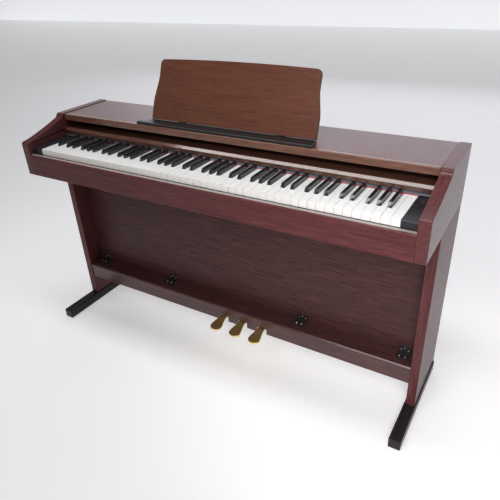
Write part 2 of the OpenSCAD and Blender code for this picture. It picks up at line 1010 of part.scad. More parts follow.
// Lever of a pedal: a flat bar on the axle, which bends down to a wide round front
module pedal(i) {
    x = pedal_shift + i * pedal_pitch;
    low = pedal_top_z - pedal_t;
    drop = pedal_reach * tan(pedal_droop);
    half = pedal_root_w / 2;
    side = pedal_side();
    count = len(side);
    color("#b08a3c")
        difference() {
            union() {
                intersection() {
                    along_x(x - pedal_w, 2 * pedal_w)
                        polygon([[axle_y + pedal_tail + over, low],
                                 [axle_y + pedal_tail + over, pedal_top_z],
                                 [fascia_y, pedal_top_z],
                                 [fascia_y - pedal_reach - over, pedal_top_z - drop],
                                 [fascia_y - pedal_reach - over, low - drop],
                                 [fascia_y, low]]);
                    translate([x, 0, 0])
                        linear_extrude(height = pedal_board_z)
                            polygon(concat(
                                side,
                                [[0, fascia_y - pedal_reach]],
                                [for (i = [count - 1 : -1 : 0]) [-side[i][0], side[i][1]]]
                            ));
                }
                bar_x(x - half, pedal_root_w, axle_y, axle_z, axle_r + 4);
            }
            bar_x(x - half - over, pedal_root_w + 2 * over, axle_y, axle_z, axle_r + pin_play);
        }
}

// Steel mount under the board: ears for the axle and an up-stop for each lever
module pedal_mount() {
    reach = pedal_pitch + pedal_root_w / 2 + 14;
    top = under_board_z;
    ear = 3;
    ear_x = pedal_root_w / 2 + 4;
    color("#5a5c60")
        union() {
            box([pedal_shift - reach, axle_y - 38, top - mount_t],
                [pedal_shift + reach, axle_y + pedal_tail, top]);
            box([pedal_shift - reach, axle_y - 38, pedal_top_z + 0.5],
                [pedal_shift + reach, axle_y - 32, top]);
            difference() {
                for (i = [-1 : 1], side = [-1, 1])
                    translate([pedal_shift + i * pedal_pitch + side * ear_x - ear / 2, 0, 0])
                        box([0, axle_y - 10, axle_z - 9], [ear, axle_y + 10, top]);
                bar_x(pedal_shift - reach, 2 * reach, axle_y, axle_z, axle_r + pin_play);
            }
        }
}

module pedal_axle() {
    reach = pedal_pitch + pedal_root_w / 2 + 9;
    color("#b8bcc0")
        bar_x(pedal_shift - reach, 2 * reach, axle_y, axle_z, axle_r);
}

// Coil spring over a lever's tail, as the closed sleeve that the coil fills
module pedal_spring(i) {
    x = pedal_shift + i * pedal_pitch;
    color("#c8cacc")
        difference() {
            bar_z(x, spring_y, pedal_top_z, under_board_z - mount_t - pedal_top_z, 7);
            bar_z(x, spring_y, pedal_top_z - over, under_board_z, 5);
        }
}

// Where the brackets stand, from the middle
bracket_places = [leg_in_x - 36, leg_in_x - 382];

module corner_brackets() {
    w = 37;
    t = 2;
    up = 20;
    out = 38;
    color("#0f0f12")
        for (side = [0, 1], place = bracket_places)
            mirror([side, 0, 0])
                union() {
                    box([place - w / 2, back_y - t, pedal_board_z],
                        [place + w / 2, back_y, pedal_board_z + up]);
                    box([place - w / 2, back_y - out, pedal_board_z],
                        [place + w / 2, back_y, pedal_board_z + t]);
                }
}

left_side_board();
right_side_board();
top_board();
top_front_strip();
rear_board();
bottom_board();
key_slip();
left_key_block();
right_key_block();
name_strip();
key_ledge();
red_felt();
key_chassis();
key_pivot_rod();
circuit_boards();
cover_rail();
cover_panel();
cover_pins();
music_rest();
rest_brackets();
rest_base_plates();
rest_stay();
music_ledge();
speakers();
speaker_grilles();
jack_panel();
headphone_plate();
power_button();
volume_slider();
left_leg();
right_leg();
feet();
back_panel();
pedal_board();
pedal_fascia();
pedal_mount();
pedal_axle();
pedal(-1);  // pedal_left
pedal(0);  // pedal_middle
pedal(1);  // pedal_right
pedal_spring(-1);  // pedal_spring_left
pedal_spring(0);  // pedal_spring_middle
pedal_spring(1);  // pedal_spring_right
corner_brackets();
white_keys_low();
black_keys_low();
white_keys_high();
black_keys_high();
middle_white(0);  // white_key_c
middle_white(1);  // white_key_d
middle_white(2);  // white_key_e
middle_white(3);  // white_key_f
middle_white(4);  // white_key_g
middle_white(5);  // white_key_a
middle_white(6);  // white_key_b
middle_black(1);  // black_key_c_sharp
middle_black(3);  // black_key_d_sharp
middle_black(6);  // black_key_f_sharp
middle_black(8);  // black_key_g_sharp
middle_black(10);  // black_key_a_sharp
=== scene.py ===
import bpy
import bmesh
import json
import math
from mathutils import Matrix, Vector


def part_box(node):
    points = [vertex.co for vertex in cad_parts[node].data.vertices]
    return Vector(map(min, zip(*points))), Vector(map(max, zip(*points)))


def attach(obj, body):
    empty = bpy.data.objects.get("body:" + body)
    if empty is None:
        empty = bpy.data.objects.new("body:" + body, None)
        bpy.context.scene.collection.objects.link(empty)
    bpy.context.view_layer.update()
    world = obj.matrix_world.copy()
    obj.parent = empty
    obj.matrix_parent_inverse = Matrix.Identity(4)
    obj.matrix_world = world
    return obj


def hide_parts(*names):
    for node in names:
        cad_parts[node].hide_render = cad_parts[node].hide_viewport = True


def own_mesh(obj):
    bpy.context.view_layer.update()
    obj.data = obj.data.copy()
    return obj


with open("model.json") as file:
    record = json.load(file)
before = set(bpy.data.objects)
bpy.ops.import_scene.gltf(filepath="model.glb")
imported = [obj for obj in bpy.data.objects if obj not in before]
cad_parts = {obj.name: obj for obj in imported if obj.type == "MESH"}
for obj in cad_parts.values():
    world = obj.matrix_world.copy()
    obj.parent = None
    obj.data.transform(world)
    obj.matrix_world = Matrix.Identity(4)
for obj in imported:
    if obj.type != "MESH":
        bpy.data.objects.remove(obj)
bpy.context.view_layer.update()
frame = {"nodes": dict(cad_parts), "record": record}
nodes = frame["nodes"]
print("frame loaded:", len(nodes), "nodes")

# Camera

cameraView = {"place": (0.8699, -1.2295, 1.2414), "turn": (60.233, 2.476, 30.858),
              "lens": 36.75, "sensor": 36.0}


def makeCamera(view):
    data = bpy.data.cameras.new("camera")
    data.lens = view["lens"]
    data.sensor_width = view["sensor"]
    camera = bpy.data.objects.new("camera", data)
    camera.location = view["place"]
    camera.rotation_euler = [math.radians(a) for a in view["turn"]]
    bpy.context.scene.collection.objects.link(camera)
    bpy.context.scene.camera = camera


makeCamera(cameraView)
print("camera made")

# Helpers that build node trees


def addNode(tree, kind, inputs=None, **settings):
    node = tree.nodes.new(kind)
    for key, value in settings.items():
        setattr(node, key, value)
    for key, value in (inputs or {}).items():
        node.inputs[key].default_value = value
    return node


def link(tree, source, target):
    tree.links.new(source, target)


def ramp(tree, source, stops):
    node = addNode(tree, "ShaderNodeValToRGB")
    band = node.color_ramp
    while len(band.elements) < len(stops):
        band.elements.new(0.5)
    for element, (place, color) in zip(band.elements, stops):
        element.position = place
        element.color = color if len(color) == 4 else (*color, 1)
    link(tree, source, node.inputs["Fac"])
    return node.outputs["Color"]


def mixColor(tree, amount, first, second, blend="MIX"):
    # A colour mix takes its factor from socket 0 and its two colours from 6 and 7
    node = addNode(tree, "ShaderNodeMix", data_type="RGBA", blend_type=blend)
    for place, value in ((0, amount), (6, first), (7, second)):
        if isinstance(value, (int, float)):
            node.inputs[place].default_value = value
        elif isinstance(value, tuple):
            node.inputs[place].default_value = (*value, 1)
        else:
            link(tree, value, node.inputs[place])
    return node.outputs[2]


def spread(tree, source, low, high):
    node = addNode(tree, "ShaderNodeMapRange", {"To Min": low, "To Max": high})
    link(tree, source, node.inputs["Value"])
    return node.outputs["Result"]


def newTree(name, treeKind, inputs, outputs):
    tree = bpy.data.node_groups.new(name, treeKind)
    for label, kind, value in inputs:
        socket = tree.interface.new_socket(label, in_out="INPUT", socket_type=kind)
        if value is not None:
            socket.default_value = value
    for label, kind in outputs:
        tree.interface.new_socket(label, in_out="OUTPUT", socket_type=kind)
    return tree, tree.nodes.new("NodeGroupInput"), tree.nodes.new("NodeGroupOutput")


def stretched(tree, vector, factors):
    node = addNode(tree, "ShaderNodeVectorMath", operation="MULTIPLY")
    node.inputs[1].default_value = factors
    link(tree, vector, node.inputs[0])
    return node.outputs["Vector"]


def noise(tree, vector, scale, detail=3.0, rough=0.5, distortion=0.0):
    node = addNode(tree, "ShaderNodeTexNoise",
                   {"Detail": detail, "Roughness": rough, "Distortion": distortion})
    if isinstance(scale, (int, float)):
        node.inputs["Scale"].default_value = scale
    else:
        link(tree, scale, node.inputs["Scale"])
    link(tree, vector, node.inputs["Vector"])
    return node.outputs["Fac"]


# Grain that runs along X: broad figure, fine fibre and short dark pores
def makeWoodGrain():
    group, start, end = newTree(
        "woodGrain", "ShaderNodeTree",
        [("Vector", "NodeSocketVector", None), ("Figure Scale", "NodeSocketFloat", 55.0),
         ("Fibre Scale", "NodeSocketFloat", 260.0), ("Pore Scale", "NodeSocketFloat", 420.0)],
        [("Figure", "NodeSocketFloat"), ("Fibre", "NodeSocketFloat"),
         ("Pores", "NodeSocketFloat"), ("Height", "NodeSocketFloat")])
    vector = start.outputs["Vector"]
    figure = noise(group, stretched(group, vector, (0.10, 1.0, 1.0)),
                   start.outputs["Figure Scale"], 5.0, 0.6, 0.6)
    fibre = noise(group, stretched(group, vector, (0.05, 1.0, 1.0)),
                  start.outputs["Fibre Scale"], 4.0, 0.65)
    poreField = noise(group, stretched(group, vector, (0.08, 1.0, 1.0)),
                      start.outputs["Pore Scale"], 2.0, 0.5)
    pores = addNode(group, "ShaderNodeMapRange",
                    {"From Min": 0.58, "From Max": 0.72, "To Min": 0.0, "To Max": 1.0})
    link(group, poreField, pores.inputs["Value"])
    height = addNode(group, "ShaderNodeMath", operation="SUBTRACT")
    link(group, fibre, height.inputs[0])
    link(group, pores.outputs["Result"], height.inputs[1])
    link(group, figure, end.inputs["Figure"])
    link(group, fibre, end.inputs["Fibre"])
    link(group, pores.outputs["Result"], end.inputs["Pores"])
    link(group, height.outputs["Value"], end.inputs["Height"])
    return group


# Slow clouds and a fine tooth, for the finish of moulded, painted and cast pieces
def makeSurfaceTooth():
    group, start, end = newTree(
        "surfaceTooth", "ShaderNodeTree",
        [("Vector", "NodeSocketVector", None), ("Cloud Scale", "NodeSocketFloat", 9.0),
         ("Tooth Scale", "NodeSocketFloat", 1400.0)],
        [("Clouds", "NodeSocketFloat"), ("Tooth", "NodeSocketFloat")])
    vector = start.outputs["Vector"]
    link(group, noise(group, vector, start.outputs["Cloud Scale"], 4.0, 0.55),
         end.inputs["Clouds"])
    link(group, noise(group, vector, start.outputs["Tooth Scale"], 2.0, 0.6),
         end.inputs["Tooth"])
    return group


# Drawn lines along X, for turned and brushed metal
def makeDrawnLines():
    group, start, end = newTree(
        "drawnLines", "ShaderNodeTree",
        [("Vector", "NodeSocketVector", None), ("Line Scale", "NodeSocketFloat", 900.0)],
        [("Lines", "NodeSocketFloat")])
    vector = stretched(group, start.outputs["Vector"], (0.02, 1.0, 1.0))
    link(group, noise(group, vector, start.outputs["Line Scale"], 3.0, 0.7),
         end.inputs["Lines"])
    return group


woodGrain = makeWoodGrain()
surfaceTooth = makeSurfaceTooth()
drawnLines = makeDrawnLines()

# Materials


def newMaterial(name, shaderValues):
    material = bpy.data.materials.new(name)
    material.use_nodes = True
    tree = material.node_tree
    shader = tree.nodes["Principled BSDF"]
    for key, value in shaderValues.items():
        shader.inputs[key].default_value = value
    place = addNode(tree, "ShaderNodeTexCoord").outputs["Object"]
    return material, tree, shader, place


def useGroup(tree, group, vector, **values):
    node = addNode(tree, "ShaderNodeGroup", node_tree=group)
    link(tree, vector, node.inputs["Vector"])
    for key, value in values.items():
        node.inputs[key.replace("_", " ")].default_value = value
    return node


def addBump(tree, shader, height, strength, distance):
    bump = addNode(tree, "ShaderNodeBump", {"Strength": strength, "Distance": distance})
    link(tree, height, bump.inputs["Height"])
    link(tree, bump.outputs["Normal"], shader.inputs["Normal"])


# Turns of the pattern in degrees, for a piece whose grain or drawn lines run along that axis
grainTurns = {"x": (0, 0, 0), "y": (0, 0, 90), "z": (0, 90, 0)}


def turned(tree, place, along, offset=(0, 0, 0)):
    turn = addNode(tree, "ShaderNodeMapping")
    turn.inputs["Rotation"].default_value = [math.radians(a) for a in grainTurns[along]]
    turn.inputs["Location"].default_value = offset
    link(tree, place, turn.inputs["Vector"])
    return turn.outputs["Vector"]


def makeWood(name, finish):
    material, tree, shader, place = newMaterial(name, {
        "Coat Weight": finish["coat"], "Coat Roughness": finish["coatRough"],
        "IOR": finish["ior"]})
    grain = useGroup(tree, woodGrain, turned(tree, place, finish["along"], finish["offset"]),
                     Figure_Scale=finish["figure"])
    shades = (finish["dark"], finish["middle"], finish["light"])
    tone = ramp(tree, grain.outputs["Figure"], list(zip(finish["bands"], shades)))
    fibre = spread(tree, grain.outputs["Fibre"], 1 - finish["contrast"], 1 + finish["contrast"])
    streaked = mixColor(tree, 1.0, tone, fibre, "MULTIPLY")
    poreShade = spread(tree, grain.outputs["Pores"], 1.0, 1 - finish["pores"])
    color = mixColor(tree, 1.0, streaked, poreShade, "MULTIPLY")
    link(tree, color, shader.inputs["Base Color"])
    rough = spread(tree, grain.outputs["Fibre"], finish["rough"] - finish["smoother"],
                   finish["rough"] + finish["rougher"])
    link(tree, rough, shader.inputs["Roughness"])
    addBump(tree, shader, grain.outputs["Height"], finish["relief"], finish["depth"])
    return material


woodBase = {"along": "x", "offset": (0, 0, 0), "figure": 80.0, "contrast": 0.80, "pores": 0.45,
            "bands": (0.30, 0.52, 0.72), "rough": 0.34, "smoother": 0.06, "rougher": 0.08,
            "relief": 0.9, "depth": 0.0004, "ior": 1.26, "coat": 0.06, "coatRough": 0.22,
            "dark": (0.084, 0.023, 0.025), "middle": (0.098, 0.028, 0.030),
            "light": (0.114, 0.036, 0.037)}
woodFinishes = {
    "caseWood": {},
    "sideWood": {"along": "y", "offset": (0.3, 1.1, 0.2), "coat": 0.3, "coatRough": 0.16},
    "legWood": {"along": "z", "offset": (0.7, 0.1, 0.9)},
    "topWood": {"offset": (0.1, 2.1, 0.3), "ior": 1.38, "coat": 0.45, "coatRough": 0.30},
    "backWood": {"offset": (0.4, 1.4, 0.9), "coat": 0.0, "dark": (0.052, 0.021, 0.022),
                 "middle": (0.066, 0.027, 0.028), "light": (0.082, 0.034, 0.034)},
    "railWood": {"offset": (0.5, 0.3, 1.7), "rough": 0.24, "coat": 0.9, "coatRough": 0.12,
                 "dark": (0.080, 0.034, 0.022), "middle": (0.096, 0.042, 0.028),
                 "light": (0.118, 0.052, 0.035)},
    # The top front strip: partly its own glossier finish, partly a painted reflection, as its
    # lighter, more orange colour than the case wood stands in for the lit white keys reflected in
    # its front
    "stripWood": {"offset": (0.8, 0.6, 1.1), "rough": 0.26, "coat": 0.8, "coatRough": 0.14,
                  "dark": (0.121, 0.051, 0.033), "middle": (0.141, 0.060, 0.038),
                  "light": (0.163, 0.071, 0.046)},
    "restWood": {"offset": (1.3, 0.4, 0.6), "contrast": 0.34,
                 "dark": (0.094, 0.032, 0.020), "middle": (0.106, 0.038, 0.024),
                 "light": (0.120, 0.046, 0.029)},
    "pedalBoardWood": {"offset": (2.2, 0.9, 0.1), "coat": 0.6, "coatRough": 0.2,
                       "dark": (0.062, 0.022, 0.023), "middle": (0.072, 0.027, 0.028),
                       "light": (0.084, 0.034, 0.034)},
    "footWood": {"along": "y", "offset": (0.2, 0.2, 3.0), "dark": (0.014, 0.010, 0.011),
                 "middle": (0.020, 0.015, 0.016), "light": (0.028, 0.021, 0.022)},
    "hiddenBoard": {"offset": (3.1, 0.2, 0.4), "rough": 0.6, "coat": 0.0,
                    "dark": (0.030, 0.014, 0.012), "middle": (0.042, 0.020, 0.017),
                    "light": (0.056, 0.028, 0.023)},
}
materials = {name: makeWood(name, {**woodBase, **change}) for name, change in woodFinishes.items()}


def makeMoulded(name, finish):
    material, tree, shader, place = newMaterial(name, {
        "Coat Weight": finish["coat"], "Coat Roughness": finish["coatRough"],
        "Emission Strength": finish["glow"]})
    tooth = useGroup(tree, surfaceTooth, place, Cloud_Scale=finish["clouds"],
                     Tooth_Scale=finish["tooth"])
    color = mixColor(tree, tooth.outputs["Clouds"], finish["low"], finish["high"])
    link(tree, color, shader.inputs["Base Color"])
    if finish["glow"] > 0:
        link(tree, color, shader.inputs["Emission Color"])
    rough = spread(tree, tooth.outputs["Clouds"], finish["rough"] - finish["swing"],
                   finish["rough"] + finish["swing"])
    link(tree, rough, shader.inputs["Roughness"])
    addBump(tree, shader, tooth.outputs["Tooth"], finish["relief"], finish["depth"])
    return material


def makeMetal(name, finish):
    material, tree, shader, place = newMaterial(name, {"Metallic": 1.0})
    lines = useGroup(tree, drawnLines, turned(tree, place, finish["along"]),
                     Line_Scale=finish["lines"])
    tooth = useGroup(tree, surfaceTooth, place, Cloud_Scale=finish["clouds"])
    streak = spread(tree, lines.outputs["Lines"], *finish["streak"])
    tone = mixColor(tree, tooth.outputs["Clouds"], finish["low"], finish["high"])
    link(tree, mixColor(tree, 1.0, tone, streak, "MULTIPLY"), shader.inputs["Base Color"])
    rough = spread(tree, lines.outputs["Lines"], finish["rough"] - finish["smoother"],
                   finish["rough"] + finish["rougher"])
    link(tree, rough, shader.inputs["Roughness"])
    addBump(tree, shader, lines.outputs["Lines"], finish["relief"], finish["depth"])
    return material


def makeFelt(name, finish):
    material, tree, shader, place = newMaterial(name, {
        "Sheen Weight": finish["sheen"], "Sheen Roughness": finish["sheenRough"],
        "Specular IOR Level": finish["specular"]})
    nap = noise(tree, place, finish["napScale"], 4.0, 0.7)
    clump = noise(tree, place, finish["clumpScale"], 3.0, 0.6)
    tone = mixColor(tree, clump, finish["low"], finish["high"])
    shade = spread(tree, nap, *finish["shade"])
    link(tree, mixColor(tree, 1.0, tone, shade, "MULTIPLY"), shader.inputs["Base Color"])
    link(tree, spread(tree, nap, *finish["rough"]), shader.inputs["Roughness"])
    addBump(tree, shader, nap, finish["relief"], finish["depth"])
    return material


mouldedBase = {"coat": 0.0, "coatRough": 0.1, "glow": 0.0, "clouds": 9.0, "tooth": 1400.0,
               "swing": 0.05, "depth": 0.0002}
mouldedFinishes = {
    "whiteKeys": {"low": (0.82, 0.83, 0.82), "high": (0.86, 0.87, 0.86), "rough": 0.22,
                  "coat": 0.4, "coatRough": 0.08, "relief": 0.03, "tooth": 500.0},
    "blackKeys": {"low": (0.006, 0.006, 0.007), "high": (0.014, 0.014, 0.016), "rough": 0.24,
                  "coat": 0.5, "coatRough": 0.1, "relief": 0.05, "tooth": 700.0},
    "keyBlocks": {"low": (0.010, 0.011, 0.014), "high": (0.018, 0.020, 0.025), "rough": 0.34,
                  "relief": 0.2},
    # The music ledge's own black plastic, darkened further to near black: painted shade for the
    # shadow in the trough behind its lip
    "musicLedge": {"low": (0.003, 0.003, 0.004), "high": (0.007, 0.007, 0.009), "rough": 0.42,
                   "relief": 0.2},
    "keyLedge": {"low": (0.050, 0.055, 0.070), "high": (0.066, 0.071, 0.088), "rough": 0.42,
                 "relief": 0.2},
    # Pale colour of the sheet on the key slip's top: a painted reflection of the white keys
    "slipEdge": {"low": (0.26, 0.22, 0.21), "high": (0.34, 0.29, 0.28), "rough": 0.25,
                 "coat": 0.5, "relief": 0.05, "clouds": 5.0},
    "controls": {"low": (0.020, 0.020, 0.023), "high": (0.032, 0.032, 0.036), "rough": 0.45,
                 "relief": 0.3},
    "sockets": {"low": (0.010, 0.010, 0.011), "high": (0.020, 0.020, 0.022), "rough": 0.5,
                "relief": 0.35},
    "chassis": {"low": (0.16, 0.165, 0.17), "high": (0.21, 0.215, 0.225), "rough": 0.55,
                "relief": 0.3},
    "boards": {"low": (0.012, 0.11, 0.05), "high": (0.02, 0.15, 0.07), "rough": 0.4,
               "relief": 0.1, "clouds": 60.0},
    "guidePins": {"low": (0.62, 0.62, 0.58), "high": (0.72, 0.72, 0.68), "rough": 0.4,
                  "relief": 0.1},
    "paintedSteel": {"low": (0.008, 0.008, 0.009), "high": (0.020, 0.020, 0.021), "rough": 0.36,
                     "relief": 0.5, "tooth": 900.0},
    "speakerCone": {"low": (0.012, 0.012, 0.012), "high": (0.024, 0.024, 0.024), "rough": 0.8,
                    "relief": 0.7, "tooth": 600.0},
    "backdropCloth": {"low": (0.90, 0.91, 0.93), "high": (0.94, 0.95, 0.96), "rough": 0.9,
                      "relief": 0.0, "clouds": 0.2, "glow": 0.56},
    "floorPaint": {"low": (0.84, 0.84, 0.85), "high": (0.87, 0.87, 0.88), "rough": 0.7,
                   "relief": 0.02, "clouds": 0.6, "glow": 0.36},
}
metalBase = {"along": "x", "streak": (0.86, 1.1), "smoother": 0.08, "rougher": 0.1,
             "depth": 0.0002}
metalFinishes = {
    "brightSteel": {"lines": 900.0, "clouds": 20.0, "rough": 0.3, "relief": 0.1,
                    "low": (0.55, 0.56, 0.58), "high": (0.68, 0.69, 0.71)},
    "brass": {"along": "y", "lines": 700.0, "clouds": 30.0, "rough": 0.44, "relief": 0.12,
              "low": (0.86, 0.66, 0.24), "high": (0.95, 0.78, 0.36)},
    "zincScrews": {"lines": 1500.0, "clouds": 90.0, "rough": 0.32, "relief": 0.1,
                   "low": (0.55, 0.54, 0.51), "high": (0.75, 0.74, 0.70)},
}
feltFinish = {"sheen": 0.6, "sheenRough": 0.5, "specular": 0.15, "napScale": 1600.0,
              "clumpScale": 160.0, "shade": (0.65, 1.25), "rough": (0.85, 1.0),
              "relief": 0.8, "depth": 0.0006,
              "low": (0.36, 0.010, 0.022), "high": (0.52, 0.020, 0.034)}
for name, change in mouldedFinishes.items():
    materials[name] = makeMoulded(name, {**mouldedBase, **change})
for name, change in metalFinishes.items():
    materials[name] = makeMetal(name, {**metalBase, **change})
materials["redFelt"] = makeFelt("redFelt", feltFinish)
print("materials:", len(materials))

# Helpers that build meshes


weldDistance = 2e-6
flatAngle = math.radians(0.5)
sharpAngle = math.radians(35)


def finished(source, name):
    # Turns an object with live modifiers into a plain mesh object at the origin
    depsgraph = bpy.context.evaluated_depsgraph_get()
    mesh = bpy.data.meshes.new_from_object(source.evaluated_get(depsgraph),
                                           preserve_all_data_layers=True, depsgraph=depsgraph)
    piece = bpy.data.objects.new(name, mesh)
    bpy.context.scene.collection.objects.link(piece)
    bpy.data.objects.remove(source)
    return piece


def weldedCopy(node):
    # Copy of a CAD node's mesh with its loose triangles joined
    work = bmesh.new()
    work.from_mesh(nodes[node].data)
    bmesh.ops.remove_doubles(work, verts=work.verts, dist=weldDistance)
    return work


def mergedMesh(node):
    # Copy of a CAD node's mesh with its flat faces made whole and its edges free to shade
    work = weldedCopy(node)
    bmesh.ops.dissolve_limit(work, angle_limit=flatAngle, verts=work.verts, edges=work.edges)
    mesh = bpy.data.meshes.new(node + "Mesh")
    work.to_mesh(mesh)
    work.free()
    custom = mesh.attributes.get("custom_normal")
    if custom:
        mesh.attributes.remove(custom)
    return mesh


def softened(node, name, materialName, body, width, segments=2, miter="MITER_ARC"):
    # A CAD node's shape with its corners eased, as a saw and sandpaper or a mould leaves them
    source = bpy.data.objects.new(name + "Work", mergedMesh(node))
    bpy.context.scene.collection.objects.link(source)
    source.data.materials.clear()
    source.data.materials.append(materials[materialName])
    source.data.shade_smooth()
    bevel = source.modifiers.new("ease", "BEVEL")
    bevel.limit_method = "ANGLE"
    bevel.angle_limit = sharpAngle
    bevel.width = width
    bevel.segments = segments
    bevel.miter_outer = miter
    weighted = source.modifiers.new("flat", "WEIGHTED_NORMAL")
    weighted.weight = 100
    weighted.keep_sharp = True
    piece = finished(source, name)
    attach(piece, body)
    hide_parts(node)


def islands(node):
    # Lowest and highest corner of each separate solid in a CAD node
    work = weldedCopy(node)
    left = set(work.verts)
    boxes = []
    while left:
        queue = [left.pop()]
        found = list(queue)
        while queue:
            vertex = queue.pop()
            for edge in vertex.link_edges:
                other = edge.other_vert(vertex)
                if other in left:
                    left.remove(other)
                    queue.append(other)
                    found.append(other)
        low = Vector(min(v.co[i] for v in found) for i in range(3))
        high = Vector(max(v.co[i] for v in found) for i in range(3))
        boxes.append((low, high))
    work.free()
    return sorted(boxes, key=lambda pair: tuple(pair[0]))


def paint(node, materialName):
    mesh = nodes[node].data
    mesh.materials.clear()
    mesh.materials.append(materials[materialName])


# Boards, keys and fittings with eased edges

# For each CAD node: its piece, finish, body, and the width and steps of its eased edges
easedPieces = {
    "left_side_board": ("leftSideBoard", "sideWood", "case", 0.0012, 2),
    "right_side_board": ("rightSideBoard", "sideWood", "case", 0.0012, 2),
    "top_board": ("topBoard", "topWood", "case", 0.0008, 2),
    "top_front_strip": ("topFrontStrip", "stripWood", "case", 0.0008, 2),
    "key_slip": ("keySlip", "caseWood", "case", 0.0008, 2),
    "left_key_block": ("leftKeyBlock", "keyBlocks", "case", 0.0006, 2),
    "right_key_block": ("rightKeyBlock", "keyBlocks", "case", 0.0006, 2),
    "name_strip": ("nameStrip", "railWood", "case", 0.0008, 2),
    "key_ledge": ("keyLedge", "keyLedge", "case", 0.0006, 2),
    "red_felt": ("redFelt", "redFelt", "case", 0.0007, 2),
    "cover_rail": ("coverRail", "railWood", "key_cover", 0.0012, 3),
    "cover_panel": ("coverPanel", "hiddenBoard", "key_cover", 0.0005, 2),
    "music_rest": ("musicRest", "restWood", "folding_rest", 0.0016, 3),
    "rest_brackets": ("restBrackets", "paintedSteel", "folding_rest", 0.0003, 2),
    "rest_base_plates": ("restBasePlates", "paintedSteel", "case", 0.0003, 2),
    "music_ledge": ("musicLedge", "musicLedge", "case", 0.0006, 2),
    "power_button": ("powerButton", "controls", "power_switch", 0.0006, 3),
    "volume_slider": ("volumeSlider", "controls", "volume_control", 0.0005, 2),
    "left_leg": ("leftLeg", "legWood", "case", 0.0010, 2),
    "right_leg": ("rightLeg", "legWood", "case", 0.0010, 2),
    "feet": ("feet", "footWood", "case", 0.0030, 3),
    "back_panel": ("backPanel", "backWood", "case", 0.0006, 2),
    "pedal_board": ("pedalBoard", "pedalBoardWood", "case", 0.0008, 2),
    "pedal_fascia": ("pedalFascia", "pedalBoardWood", "case", 0.0008, 2),
    "corner_brackets": ("cornerBrackets", "paintedSteel", "case", 0.0005, 2),
    "pedal_left": ("pedalLeft", "brass", "left_pedal", 0.0014, 3),
    "pedal_middle": ("pedalMiddle", "brass", "middle_pedal", 0.0014, 3),
    "pedal_right": ("pedalRight", "brass", "right_pedal", 0.0014, 3),
    "rear_board": ("rearBoard", "hiddenBoard", "case", 0.0006, 2),
    "bottom_board": ("bottomBoard", "hiddenBoard", "case", 0.0006, 2),
}
for node, (name, materialName, body, width, segments) in easedPieces.items():
    softened(node, name, materialName, body, width, segments)
print("eased boards and fittings:", len(easedPieces))

# The white keys' edges stay narrower than half of their 2 mm walls
keyEdges = {"white": (0.0007, 3, "whiteKeys"), "black": (0.0008, 3, "blackKeys")}
keyNodes = [node for node in nodes if node.startswith(("white_key", "black_key"))]
for node in keyNodes:
    width, segments, materialName = keyEdges[node[:5]]
    name = node.replace("_", " ").title().replace(" ", "")
    softened(node, name[0].lower() + name[1:], materialName, node, width, segments,
             miter="MITER_SHARP")
print("keys:", len(keyNodes))

paintedNodes = {
    "key_chassis": "chassis", "key_pivot_rod": "brightSteel", "circuit_boards": "boards",
    "cover_pins": "guidePins", "rest_stay": "brightSteel", "speakers": "speakerCone",
    "speaker_grilles": "paintedSteel", "jack_panel": "sockets", "headphone_plate": "sockets",
    "pedal_mount": "paintedSteel", "pedal_axle": "brightSteel",
}
for node, materialName in paintedNodes.items():
    paint(node, materialName)
print("repainted nodes:", len(paintedNodes))

# Geometry Nodes trees for what repeats


def newGeometryTree(name, inputs):
    return newTree(name, "GeometryNodeTree",
                   [("Geometry", "NodeSocketGeometry", None), *inputs],
                   [("Geometry", "NodeSocketGeometry")])


def endTree(tree, start, end, shape, faced=True):
    # Puts the shape at each point, turned the way that its point says, and gives it its finish
    place = addNode(tree, "GeometryNodeInstanceOnPoints")
    link(tree, start.outputs["Geometry"], place.inputs["Points"])
    link(tree, shape, place.inputs["Instance"])
    if faced:
        facing = addNode(tree, "GeometryNodeInputNamedAttribute", {"Name": "facing"},
                         data_type="FLOAT_VECTOR")
        align = addNode(tree, "FunctionNodeAlignRotationToVector", axis="Z")
        link(tree, facing.outputs["Attribute"], align.inputs["Vector"])
        link(tree, align.outputs["Rotation"], place.inputs["Rotation"])
    real = addNode(tree, "GeometryNodeRealizeInstances")
    link(tree, place.outputs["Instances"], real.inputs["Geometry"])
    painted = addNode(tree, "GeometryNodeSetMaterial")
    link(tree, real.outputs["Geometry"], painted.inputs["Geometry"])
    link(tree, start.outputs["Material"], painted.inputs["Material"])
    link(tree, painted.outputs["Geometry"], end.inputs["Geometry"])


def wireAlong(tree, start, path, capped):
    # Round wire along a curve
    wire = addNode(tree, "GeometryNodeCurvePrimitiveCircle", {"Resolution": 10}, mode="RADIUS")
    link(tree, start.outputs["Wire Radius"], wire.inputs["Radius"])
    tube = addNode(tree, "GeometryNodeCurveToMesh", {"Fill Caps": capped})
    link(tree, path, tube.inputs["Curve"])
    link(tree, wire.outputs["Curve"], tube.inputs["Profile Curve"])
    return tube.outputs["Mesh"]


